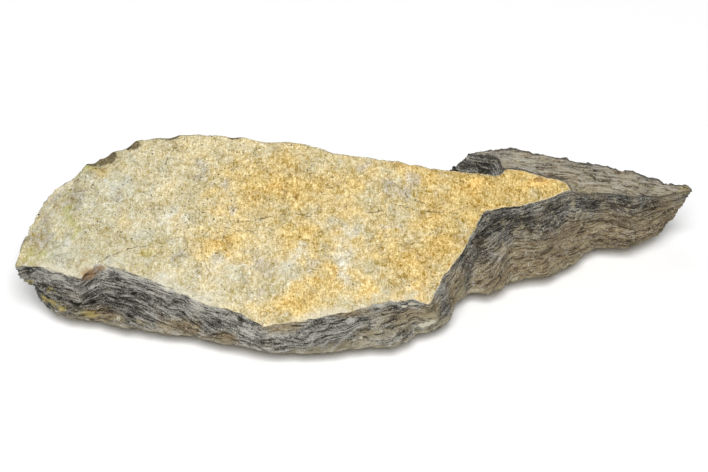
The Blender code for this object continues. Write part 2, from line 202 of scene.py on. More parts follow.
CHIP_PATCHES = [
    (18.2, -21.1, 5.6, 1.1, 1.5, 0.55), (19.6, -20.9, 6.0, 1.1, 1.5, 0.55),
    (21.0, -20.3, 6.4, 1.0, 1.5, 0.55), (1.9, -25.9, 5.5, 0.5, 1.0, 0.4),
    (-63.4, -18.6, 6.1, 0.6, 1.4, 0.7), (13.4, -19.2, 10.9, 1.0, 1.2, 0.35),
    (15.5, -18.6, 11.1, 1.2, 1.2, 0.35), (17.9, -18.4, 11.7, 1.0, 1.2, 0.35),
]
# Rust where water ran: beside the notch in the front rim, and on the tongue.
STAIN_PATCHES = [
    (-71.3, -12.0, 16.0, 2.8, 2.4, 1.6), (-68.0, -10.4, 16.6, 2.0, 0.9, 1.0),
    (51.0, 17.0, 25.4, 1.6, 1.1, 2.0),
]
# Knocked-off flakes at the back left, as brown scars in the skin.
SCAR_PATCHES = [
    (-69.3, 21.6, 4.4, 2.4), (-61.6, 25.4, 2.8, 1.6), (-51.0, 28.2, 2.6, 1.4),
    (-33.0, 28.2, 1.8, 0.9), (-72.5, 19.6, 2.0, 1.2),
]

# Where in the noise the rim's wear along Y is taken, apart from its wear along X.
RIM_WEAR_OFFSET = (31.0, 17.0, 0.0)

# How far, in millimetres, noise pushes the patches about, and the size of its swells. The seed
# keeps them in the same places each run, because the noise is otherwise drawn from the clock.
PATCH_DRIFT = 3.2
PATCH_DRIFT_SIZE = 4.5
PATCH_SEED = 1795472340

# Where the lights stand, in metres, and the place along Y, in millimetres, that the camera looks at.
KEY_PLACE = (0.0, -1.0, 1.73)
FILL_PLACE = (-0.9, 0.9, 1.2)
AIM_Y = 20.0

# Hairline cracks in the skin, as paths.
CRACKS = [
    [(-69.0, -9.5), (-65.5, -7.5), (-61.5, -6.0), (-58.5, -5.0), (-55.5, -5.0)],
    [(1.0, 6.0), (5.5, 6.0), (9.5, 7.5), (12.5, 8.5), (16.5, 7.5), (20.5, 6.5), (29.5, 6.5)],
    [(-24.5, -26.0), (-24.0, -24.0), (-23.0, -22.0)],
    [(-31.0, 2.5), (-25.0, 3.5), (-17.5, 5.5), (-12.0, 4.5)],
    [(-52.0, 18.0), (-51.0, 21.5), (-48.5, 25.0)],
    [(13.0, 13.0), (15.0, 10.5), (19.0, 9.0)],
]
CRACK_REACH = 3.0


class BoneRelief(bpy.types.PropertyGroup):
    """How far the bone's relief stands out or sinks in."""

    ledge_height: bpy.props.FloatProperty(
        name="Ledge height",
        description="Drop of each ledge along the grain of the broken faces",
        default=0.00075,
        subtype="DISTANCE",
        unit="LENGTH",
    )
    ledge_pitch: bpy.props.FloatProperty(
        name="Ledge pitch",
        description="Depth of bone between one ledge and the next",
        default=0.0021,
        subtype="DISTANCE",
        unit="LENGTH",
    )
    fibre_height: bpy.props.FloatProperty(
        name="Fibre height",
        description="Height of the fine fibres in the broken faces",
        default=0.00036,
        subtype="DISTANCE",
        unit="LENGTH",
    )
    strand_height: bpy.props.FloatProperty(
        name="Strand height",
        description="Height of the thin strands that stand out of the broken faces",
        default=0.00022,
        subtype="DISTANCE",
        unit="LENGTH",
    )
    lump_height: bpy.props.FloatProperty(
        name="Lump height",
        description="Height of the uneven lumps in the broken faces",
        default=0.00030,
        subtype="DISTANCE",
        unit="LENGTH",
    )
    cavity_depth: bpy.props.FloatProperty(
        name="Cavity depth",
        description="Depth of the torn cavities in the broken faces",
        default=0.0014,
        subtype="DISTANCE",
        unit="LENGTH",
    )
    skin_swell: bpy.props.FloatProperty(
        name="Skin swell",
        description="Height of the uneven swells in the outer skin",
        default=0.00020,
        subtype="DISTANCE",
        unit="LENGTH",
    )
    roof_streak: bpy.props.FloatProperty(
        name="Roof streak",
        description="Height of the streaks along the beak's roof",
        default=0.00040,
        subtype="DISTANCE",
        unit="LENGTH",
    )
    rim_wear: bpy.props.FloatProperty(
        name="Rim wear",
        description="How far the worn rim wanders in and out",
        default=0.0005,
        subtype="DISTANCE",
        unit="LENGTH",
    )
    underside_lump: bpy.props.FloatProperty(
        name="Underside lump",
        description="Height of the uneven lumps in the underside's hollows",
        default=0.00025,
        subtype="DISTANCE",
        unit="LENGTH",
    )
    seed: bpy.props.FloatProperty(
        name="Seed",
        description="Moves the pattern of the relief to another part of the noise",
        default=4.0,
    )


class BoneColours(bpy.types.PropertyGroup):
    """The bone's colours, as they are in flat light."""

    cream: bpy.props.FloatVectorProperty(
        name="Cream", description="Body of the outer skin", subtype="COLOR", size=4,
        default=(0.715, 0.633, 0.402, 1.0),
    )
    ochre: bpy.props.FloatVectorProperty(
        name="Ochre", description="Mottling of the outer skin", subtype="COLOR", size=4,
        default=(0.72, 0.518, 0.19, 1.0),
    )
    orange: bpy.props.FloatVectorProperty(
        name="Orange", description="Warmest stains in the outer skin", subtype="COLOR", size=4,
        default=(0.78, 0.46, 0.11, 1.0),
    )
    # White is also the colour of the painted highlight along the skin's rim.
    white: bpy.props.FloatVectorProperty(
        name="White", description="Bleached patches and the skin's broken rim", subtype="COLOR",
        size=4, default=(0.80, 0.755, 0.585, 1.0),
    )
    skin_grey: bpy.props.FloatVectorProperty(
        name="Skin grey", description="Worn grey patches in the skin", subtype="COLOR", size=4,
        default=(0.53, 0.48, 0.385, 1.0),
    )
    moss: bpy.props.FloatVectorProperty(
        name="Yellow green", description="Yellow-green streaks in the skin", subtype="COLOR",
        size=4, default=(0.52, 0.47, 0.16, 1.0),
    )
    scar: bpy.props.FloatVectorProperty(
        name="Scar", description="Brown scars where flakes came off the skin", subtype="COLOR",
        size=4, default=(0.36, 0.27, 0.13, 1.0),
    )
    pit: bpy.props.FloatVectorProperty(
        name="Pit", description="Dirt in the skin's pores and cracks", subtype="COLOR", size=4,
        default=(0.12, 0.10, 0.055, 1.0),
    )
    charcoal: bpy.props.FloatVectorProperty(
        name="Charcoal", description="Darkest fibres", subtype="COLOR", size=4,
        default=(0.035, 0.031, 0.023, 1.0),
    )
    slate: bpy.props.FloatVectorProperty(
        name="Slate", description="Body of the broken faces", subtype="COLOR", size=4,
        default=(0.264, 0.252, 0.216, 1.0),
    )
    thread: bpy.props.FloatVectorProperty(
        name="Thread", description="Palest fibres", subtype="COLOR", size=4,
        default=(0.70, 0.675, 0.60, 1.0),
    )
    brown: bpy.props.FloatVectorProperty(
        name="Brown", description="Iron-stained breaks", subtype="COLOR", size=4,
        default=(0.30, 0.213, 0.115, 1.0),
    )
    rust: bpy.props.FloatVectorProperty(
        name="Rust", description="Rust spots", subtype="COLOR", size=4,
        default=(0.36, 0.20, 0.07, 1.0),
    )
    tan: bpy.props.FloatVectorProperty(
        name="Tan", description="Worn lower edges and clay in the breaks", subtype="COLOR", size=4,
        default=(0.50, 0.425, 0.265, 1.0),
    )
    gold: bpy.props.FloatVectorProperty(
        name="Gold", description="Yellow crusts in the breaks", subtype="COLOR", size=4,
        default=(0.58, 0.45, 0.11, 1.0),
    )


class StageSettings(bpy.types.PropertyGroup):
    """Floor, lights and camera."""

    floor_size: bpy.props.FloatProperty(
        name="Floor size", description="Side of the square floor", default=6.0,
        subtype="DISTANCE", unit="LENGTH",
    )
    floor_colour: bpy.props.FloatVectorProperty(
        name="Floor colour", description="Plain pale floor", subtype="COLOR", size=4,
        default=(0.97, 0.97, 0.97, 1.0),
    )
    sky_strength: bpy.props.FloatProperty(
        name="Sky strength", description="Even light from all round", default=0.14,
    )
    key_power: bpy.props.FloatProperty(
        name="Key power", description="Power of the large light above and in front", default=46.5,
        unit="POWER",
    )
    fill_power: bpy.props.FloatProperty(
        name="Fill power", description="Power of the weak light behind", default=4.0,
        unit="POWER",
    )
    light_size: bpy.props.FloatProperty(
        name="Light size", description="Side of each square light", default=1.3,
        subtype="DISTANCE", unit="LENGTH",
    )
    camera_distance: bpy.props.FloatProperty(
        name="Camera distance", description="From the camera to the point it looks at",
        default=0.7, subtype="DISTANCE", unit="LENGTH",
    )
    camera_elevation: bpy.props.FloatProperty(
        name="Camera elevation", description="Height of the view above the horizon",
        default=math.radians(40.0), subtype="ANGLE",
    )
    aim_height: bpy.props.FloatProperty(
        name="Aim height", description="Height of the point the camera looks at",
        default=0.0025, subtype="DISTANCE", unit="LENGTH",
    )
    focal_length: bpy.props.FloatProperty(
        name="Focal length", description="Camera lens, in millimetres", default=126.4,
    )


class Nodes:
    """Adds nodes to a tree and wires them, so that a pattern reads as a formula."""

    COLUMNS = 14

    def __init__(self, tree):
        self.tree = tree
        self.count = 0

    def add(self, kind, inputs=None, **settings):
        """Adds a node, sets it and feeds its inputs, which are named or numbered."""
        node = self.tree.nodes.new(kind)
        node.location = (self.count % self.COLUMNS * 200.0, -(self.count // self.COLUMNS) * 300.0)
        self.count += 1
        for name, value in settings.items():
            setattr(node, name, value)
        for name, value in (inputs or {}).items():
            self.feed(node.inputs[name], value)
        return node

    def feed(self, socket, value):
        """Links an output to the socket, or sets the socket's own value."""
        if isinstance(value, bpy.types.NodeSocket):
            self.tree.links.new(value, socket)
        else:
            socket.default_value = value

    def math(self, operation, *values):
        node = self.add("ShaderNodeMath", operation=operation)
        for socket, value in zip(node.inputs, values):
            self.feed(socket, value)
        return node.outputs[0]

    def total(self, *values):
        """The sum of the values."""
        result = values[0]
        for value in values[1:]:
            result = self.math("ADD", result, value)
        return result

    def product(self, *values):
        """The product of the values."""
        result = values[0]
        for value in values[1:]:
            result = self.math("MULTIPLY", result, value)
        return result

    def vector(self, operation, *values):
        node = self.add("ShaderNodeVectorMath", operation=operation)
        for socket, value in zip(node.inputs, values):
            self.feed(socket, value)
        return node.outputs[0]

    def spread(self, value):
        """The value as all three parts of a vector."""
        return self.add("ShaderNodeCombineXYZ", {0: value, 1: value, 2: value}).outputs[0]

    def stretch(self, place, x, y, z):
        """The place with its axes divided by these sizes."""
        return self.vector("DIVIDE", place, (x, y, z))

    def noise(self, place, size, detail=2.0, roughness=0.5, curl=0.0):
        """Noise from 0 to 1, about 0.5, with swells about `size` across."""
        inputs = {"Vector": place, "Scale": 1.0 / size, "Detail": detail, "Roughness": roughness}
        inputs["Distortion"] = curl
        return self.add("ShaderNodeTexNoise", inputs).outputs[0]

    def wave(self, place, size, detail=2.0, roughness=0.5, curl=0.0):
        """Noise from about -1 to 1."""
        noise = self.noise(place, size, detail, roughness, curl)
        return self.math("MULTIPLY_ADD", noise, 5.0, -2.5)

    def cells(self, place, size, feature="F1"):
        """Cell pattern: its node, with Distance and Color outputs."""
        inputs = {"Vector": place, "Scale": 1.0 / size}
        return self.add("ShaderNodeTexVoronoi", inputs, feature=feature)

    def step(self, value, low, high):
        """0 where value is at low, 1 where it is at high, smooth between."""
        inputs = {"Value": value, "From Min": low, "From Max": high}
        node = self.add("ShaderNodeMapRange", inputs, interpolation_type="SMOOTHSTEP")
        return node.outputs[0]

    def line(self, value, middle, width):
        """1 where value passes middle, falling to 0 at width from it."""
        return self.step(self.math("ABSOLUTE", self.math("SUBTRACT", value, middle)), width, 0.0)

    def mix(self, share, first, second, blend="MIX"):
        """Colour from first to second by share."""
        node = self.add("ShaderNodeMix", data_type="RGBA", blend_type=blend)
        for name, value in ((0, share), (6, first), (7, second)):
            self.feed(node.inputs[name], value)
        return node.outputs[2]


def ramp(value, start, length):
    """0 before start, then growing by 1 for each length."""
    return max(0.0, (value - start) / length)


def skin_height(x, y):
    """Height of the outer skin, in millimetres."""
    crown = SKIN_CROWN * (y / SKIN_HALF_WIDTH) ** 2
    roll = ROLL_DROP * ramp(-x, ROLL_START, ROLL_LENGTH) ** 2
    return SKIN_HEIGHT + SKIN_CLIMB_X * x + SKIN_CLIMB_Y * y - crown - roll


def eased(distance):
    """A distance of 0 or more that starts slowly, as over a rounded edge."""
    return distance * distance / (distance + ROOF_EASE)


def smooth(value):
    """Smooth step of a value held between 0 and 1."""
    held = min(1.0, max(0.0, value))
    return held * held * (3.0 - 2.0 * held)


def roof_height(x, y):
    """Height of the beak's roof, in millimetres."""
    left, right = ROOF_LEVEL_X
    rise = eased(max(0.0, left - x)) - eased(max(0.0, x - right))
    start, full, fade, end = ROOF_SCOOP_X
    share = smooth((x - start) / (full - start)) * smooth((end - x) / (end - fade))
    scoop = ROOF_SCOOP * share * max(0.0, ROOF_BACK_Y - y)
    return ROOF_HEIGHT + ROOF_CLIMB_Y * y + ROOF_SLOPE * rise - scoop


def outline_place(co):
    """A mesh point, in metres, as millimetres from the outline's own origin."""
    return co.x / MM + MIDDLE[0], co.y / MM + MIDDLE[1], co.z / MM


def top_height(x, y):
    """Height of the upper face with its relief and flakes, in millimetres, but no notch."""
    gap = skin_height(x, y) - roof_height(x, y)
    swell, size, seed = SKIN_WAVE if gap <= 0.0 else ROOF_WAVE
    place = Vector((x / size + seed, y / size, -seed))
    relief = swell * NOISE_GAIN * noise.fractal(place, 1.0, 2.0, 2) * smooth(abs(gap))
    for flake_x, flake_y, radius, depth in FLAKES:
        reach = math.hypot(x - flake_x, y - flake_y) / radius
        relief -= depth * smooth(FLAKE_STEEPNESS * (1.0 - reach))
    return min(skin_height(x, y), roof_height(x, y)) + relief


def face_zone(face):
    """Which of the bone's surfaces a coarse face belongs to."""
    corners = [outline_place(vert.co) for vert in face.verts]
    if face.normal.z < -UNDERSIDE_LEVEL and all(z < UNDERSIDE_REACH for _, _, z in corners):
        return UNDERSIDE
    x, y, _ = outline_place(face.calc_center_median())
    leads_in = face.normal.z > LEVEL and y > LEVEL_START_Y
    reach = LEVEL_REACH if leads_in else TOP_REACH
    if any(abs(corner[2] - top_height(*corner[:2])) > reach for corner in corners):
        return BREAK
    past_tongue = x > TONGUE_END_X
    return ROOF if past_tongue or skin_height(x, y) > roof_height(x, y) else SKIN


def coarse_copy():
    """The solid's mesh as quads and triangles, with its zones marked and its corners creased."""
    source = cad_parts[SOLID].data
    mesh = bmesh.new()
    mesh.from_mesh(source)
    bmesh.ops.remove_doubles(mesh, verts=mesh.verts, dist=MERGE_DISTANCE)
    zones = mesh.faces.layers.int.new("zone")
    mesh.normal_update()
    for face in mesh.faces:
        face[zones] = face_zone(face)
    for edge in mesh.edges:
        first, second = (face[zones] for face in edge.link_faces)
        edge.smooth = first == second
    bmesh.ops.join_triangles(
        mesh, faces=mesh.faces, cmp_sharp=True, angle_face_threshold=JOIN_ANGLE,
        angle_shape_threshold=JOIN_ANGLE,
    )
    creases = mesh.edges.layers.float.new("crease_edge")
    for edge in mesh.edges:
        edge[creases] = 0.0 if edge.smooth else EDGE_CREASE
        edge.smooth = True
    for face in mesh.faces:
        face.smooth = True
    copy = bpy.data.meshes.new("bone_surface_coarse")
    mesh.to_mesh(copy)
    mesh.free()
    return copy


def unwrap(piece):
    """Gives the coarse piece the map that its colours are baked through."""
    piece.data.uv_layers.new(name="OFBake")
    bpy.context.view_layer.objects.active = piece
    piece.select_set(True)
    bpy.ops.object.mode_set(mode="EDIT")
    bpy.ops.mesh.select_all(action="SELECT")
    bpy.ops.uv.smart_project(angle_limit=MAP_ANGLE, island_margin=MAP_MARGIN)
    bpy.ops.object.mode_set(mode="OBJECT")
    piece.select_set(False)


def evaluated_mesh(piece):
    """The piece's mesh with its modifiers applied."""
    graph = bpy.context.evaluated_depsgraph_get()
    return bpy.data.meshes.new_from_object(
        piece.evaluated_get(graph), preserve_all_data_layers=True, depsgraph=graph
    )


def subdivide(piece):
    """Subdivides the piece, fitted so that it still passes through the solid's own corners."""
    corners = [vertex.co.copy() for vertex in piece.data.vertices]
    finer = piece.modifiers.new("finer", "SUBSURF")
    finer.levels = LEVELS
    finer.render_levels = LEVELS
    for _ in range(FIT_ROUNDS):
        found = evaluated_mesh(piece)
        for vertex, corner, now in zip(piece.data.vertices, corners, found.vertices):
            vertex.co += corner - now.co
        bpy.data.meshes.remove(found)
    mesh = evaluated_mesh(piece)
    piece.modifiers.remove(finer)
    piece.data = mesh


def zone_distance(mesh, zone):
    """For each vertex, millimetres to the zone's edge: above 0 inside it and below 0 outside."""
    zones = mesh.attributes["zone"].data
    touching = [set() for _ in mesh.vertices]
    for polygon in mesh.polygons:
        for index in polygon.vertices:
            touching[index].add(zones[polygon.index].value == zone)
    border = [index for index, found in enumerate(touching) if len(found) == 2]
    tree = kdtree.KDTree(len(border))
    for index in border:
        tree.insert(mesh.vertices[index].co, index)
    tree.balance()
    distances = []
    for vertex, found in zip(mesh.vertices, touching):
        distance = tree.find(vertex.co)[2] / MM
        distances.append(distance if True in found else -distance)
    return distances


def patch_strength(place, patches):
    """Strongest of the soft patches at this place: 1 at a patch's middle, 0 well outside it."""
    axes = len(place)
    best = 0.0
    for patch in patches:
        middle, radii = patch[:axes], patch[axes:]
        reach = sum(((p - m) / r) ** 2 for p, m, r in zip(place, middle, radii))
        best = max(best, math.exp(-reach))
    return best


def drifted(place):
    """The place pushed about by noise, so that the patches have no plain outline."""
    push = noise.noise_vector(Vector(place) / PATCH_DRIFT_SIZE) * PATCH_DRIFT
    return tuple(Vector(place) + push)


def crack_offset(x, y):
    """Signed distance to the nearest crack, and 1 beside its run or 0 past its ends."""
    nearest, side, share = CRACK_REACH, 1.0, 0.0
    for path in CRACKS:
        for (ax, ay), (bx, by) in zip(path, path[1:]):
            run = Vector((bx - ax, by - ay))
            offset = Vector((x - ax, y - ay))
            along = min(1.0, max(0.0, offset.dot(run) / run.length_squared))
            distance = (offset - run * along).length
            if distance < nearest:
                past_end = (offset - run * along).dot(run.normalized())
                nearest, share = distance, 1.0 - min(1.0, abs(past_end))
                side = math.copysign(1.0, run.cross(offset))
    return nearest * side, share


def add_attribute(mesh, name, values):
    """Keeps one number for each vertex, for the relief and the colours to read."""
    attribute = mesh.attributes.new(name, "FLOAT", "POINT")
    attribute.data.foreach_set("value", values)


def mark_surface(mesh):
    """Writes what the relief and the colours follow: depth, edges, patches and cracks."""
    places = [outline_place(vertex.co) for vertex in mesh.vertices]
    edges = {name: zone_distance(mesh, zone) for name, zone in ZONES.items()}
    for name, distances in edges.items():
        add_attribute(mesh, name, distances)
    below_edge = [-max(pair) for pair in zip(edges["rim"], edges["roof"])]
    below_skin = [skin_height(x, y) - z for x, y, z in places]
    depth = [mean(pair) for pair in zip(below_edge, below_skin)]
    add_attribute(mesh, "depth", depth)
    flat = {
        "warm": WARM_PATCHES, "pale": PALE_PATCHES, "grey": GREY_PATCHES,
        "moss": MOSS_PATCHES, "pores": PORE_PATCHES, "band": RIM_HIGHLIGHT_PATCHES,
    }
    solid = {
        "brown": BROWN_PATCHES, "tan": TAN_PATCHES, "dark": SHADE_AND_DARK_PATCHES, "gold": GOLD_PATCHES,
        "feather": FEATHER_PATCHES, "chip": CHIP_PATCHES, "stain": STAIN_PATCHES,
    }
    noise.seed_set(PATCH_SEED)
    moved = [drifted(place) for place in places]
    for name, patches in flat.items():
        add_attribute(mesh, name, [patch_strength(place[:2], patches) for place in moved])
    add_attribute(mesh, "scar", [patch_strength(place[:2], SCAR_PATCHES) for place in places])
    for name, patches in solid.items():
        add_attribute(mesh, name, [patch_strength(place, patches) for place in places])
    cracks = [crack_offset(x, y) for x, y, _ in places]
    add_attribute(mesh, "crack", [offset for offset, _ in cracks])
    add_attribute(mesh, "crack_run", [share for _, share in cracks])


def new_interface(tree, inputs, outputs):
    """Gives a node tree its named inputs and outputs."""
    for name, kind, default in inputs:
        socket = tree.interface.new_socket(name, in_out="INPUT", socket_type=kind)
        if default is not None:
            socket.default_value = default
    for name, kind in outputs:
        tree.interface.new_socket(name, in_out="OUTPUT", socket_type=kind)


def relief_tree(relief, material):
    """Geometry Nodes that raise ledges, fibres, lumps, cavities and streaks on the bone."""
    tree = bpy.data.node_groups.new("fossil_relief", "GeometryNodeTree")
    number = "NodeSocketFloat"
    low, high = (tuple(corner) for corner in cad_box)
    sizes = (
        "ledge_height", "ledge_pitch", "fibre_height", "strand_height", "lump_height",
        "cavity_depth", "skin_swell", "roof_streak", "rim_wear", "underside_lump", "seed",
    )
    inputs = [("Geometry", "NodeSocketGeometry", None)]
    inputs += [(name, number, getattr(relief, name)) for name in sizes]
    inputs += [("box_low", "NodeSocketVector", low), ("box_high", "NodeSocketVector", high)]
    inputs += [("Material", "NodeSocketMaterial", material)]
    new_interface(tree, inputs, [("Geometry", "NodeSocketGeometry")])
    n = Nodes(tree)
    given = n.add("NodeGroupInput").outputs

    def kept(name):
        node = n.add("GeometryNodeInputNamedAttribute", {"Name": name}, data_type="FLOAT")
        return node.outputs[0]

    position = n.add("GeometryNodeInputPosition").outputs[0]
    normal = n.add("GeometryNodeInputNormal").outputs[0]
    shift = n.add("ShaderNodeCombineXYZ", {0: given["seed"], 1: given["seed"]}).outputs[0]
    place = n.vector("ADD", n.vector("DIVIDE", position, (MM, MM, MM)), shift)
    depth, rim, roof = kept("depth"), kept("rim"), kept("roof")
    # Where each kind of relief may stand, easing to nothing at the rim.
    under = n.step(kept("underside"), -0.3, 0.8)
    on_skin = n.step(rim, -0.1, 0.9)
    on_roof = n.step(roof, -0.2, 1.2)
    ease = n.math("MULTIPLY_ADD", kept("feather"), 2.5, 1.0)
    off_rim = n.step(n.math("DIVIDE", rim, ease), 0.0, -0.9)
    off_rim = n.product(off_rim, n.math("SUBTRACT", 1.0, under))
    on_break = n.math("MULTIPLY", off_rim, n.math("SUBTRACT", 1.0, on_roof))

    # The breaks: layers of bone parallel to the skin, waved a little, with all else along them.
    warp = n.wave(place, 14.0, 2.0)
    layer = n.math("MULTIPLY_ADD", warp, 0.5, depth)
    parts = n.add("ShaderNodeSeparateXYZ", {0: place}).outputs
    grain = n.add("ShaderNodeCombineXYZ", {0: parts[0], 1: parts[1], 2: layer}).outputs[0]

    pitch = n.math("DIVIDE", given["ledge_pitch"], MM)
    fall = n.math("FRACT", n.math("ADD", n.math("DIVIDE", layer, pitch), n.wave(place, 15.0, 1.0)))
    torn = n.step(n.noise(n.stretch(grain, 8.0, 8.0, 2.4), 1.0, 2.0), 0.46, 0.56)
    ledges = n.product(n.math("SUBTRACT", 0.5, fall), torn, given["ledge_height"])
    fibres = n.wave(n.stretch(grain, 5.0, 5.0, 0.8), 1.0, 4.0, 0.65)
    fibres = n.product(fibres, given["fibre_height"])
    strand = n.line(n.noise(n.stretch(grain, 6.0, 6.0, 1.3), 1.0, 2.0, 0.5, 0.2), 0.5, 0.07)
    strands = n.product(strand, given["strand_height"])
    lumps = n.product(n.wave(place, 3.0, 4.0, 0.65), given["lump_height"])
    pocket = n.noise(n.stretch(grain, 3.2, 3.2, 1.2), 1.0, 2.0, 0.55)
    open_end = n.step(parts[0], -30.0, -75.0)
    pocket = n.step(n.math("MULTIPLY_ADD", open_end, 0.08, pocket), 0.64, 0.72)
    cavities = n.product(pocket, given["cavity_depth"], -1.0)
    broken = n.product(n.total(ledges, fibres, strands, lumps, cavities), on_break)

    # The skin, the roof and the underside.
    skin = n.product(n.wave(place, 6.5, 4.0, 0.62), given["skin_swell"], on_skin)
    crest = n.add("ShaderNodeVectorRotate", {"Vector": place, "Angle": CREST_TURN}).outputs[0]
    streaks = n.wave(n.stretch(crest, 9.0, 1.0, 1.5), 1.0, 4.0, 0.62, 0.2)
    bumps = n.wave(place, 2.2, 4.0, 0.62)
    streaks = n.math("MULTIPLY_ADD", bumps, 0.5, streaks)
    roof_relief = n.product(n.math("SUBTRACT", streaks, 0.25), given["roof_streak"], on_roof)
    below = n.product(n.wave(place, 5.0, 3.0, 0.6), under, given["underside_lump"])
    height = n.total(broken, skin, roof_relief, below)

    # The rim wanders in plan, more in some stretches than in others.
    beside_rim = n.step(n.math("ABSOLUTE", rim), 2.5, 0.3)
    uneven = n.math("MULTIPLY_ADD", n.step(n.noise(place, 11.0, 1.0), 0.42, 0.6), 0.85, 0.15)
    worn = n.product(given["rim_wear"], beside_rim, uneven)
    elsewhere = n.vector("ADD", place, RIM_WEAR_OFFSET)
    wear_x = n.product(n.wave(place, 2.6, 3.0, 0.6), worn)
    wear_y = n.product(n.wave(elsewhere, 2.6, 3.0, 0.6), worn)
    wear = n.add("ShaderNodeCombineXYZ", {0: wear_x, 1: wear_y}).outputs[0]
    offset = n.add("ShaderNodeVectorMath", {0: normal}, operation="SCALE")
    n.feed(offset.inputs["Scale"], height)
    moved = n.vector("ADD", n.vector("ADD", position, wear), offset.outputs[0])
    moved = n.vector("MINIMUM", n.vector("MAXIMUM", moved, given["box_low"]), given["box_high"])
    placed = n.add("GeometryNodeSetPosition", {"Geometry": given["Geometry"], "Position": moved})
    geometry = placed.outputs[0]
    # The relief's height is kept for the broken faces' colours, which paint shade into its hollows
    # and highlight onto its ridges.
    for name, value in (("relief", n.math("DIVIDE", height, MM)), ("layer", layer)):
        stored = n.add(
            "GeometryNodeStoreNamedAttribute", {"Geometry": geometry, "Name": name, "Value": value},
            data_type="FLOAT", domain="POINT",
        )
        geometry = stored.outputs[0]
    real = n.add("GeometryNodeRealizeInstances", {"Geometry": geometry})
    done = n.add("GeometryNodeSetMaterial", {"Geometry": real.outputs[0]})
    n.feed(done.inputs["Material"], given["Material"])
    n.feed(n.add("NodeGroupOutput").inputs[0], done.outputs[0])
    return tree


def apply_relief(piece, relief, material):
    """Raises the relief on the piece and keeps the result as its mesh."""
    tree = relief_tree(relief, material)
    modifier = piece.modifiers.new("relief", "NODES")
    modifier.node_group = tree
    for item in tree.interface.items_tree:
        if item.in_out == "INPUT" and item.name == "Material":
            modifier[item.identifier] = material
        elif item.in_out == "INPUT" and item.name != "Geometry":
            modifier[item.identifier] = item.default_value
    mesh = evaluated_mesh(piece)
    piece.modifiers.remove(modifier)
    piece.data = mesh


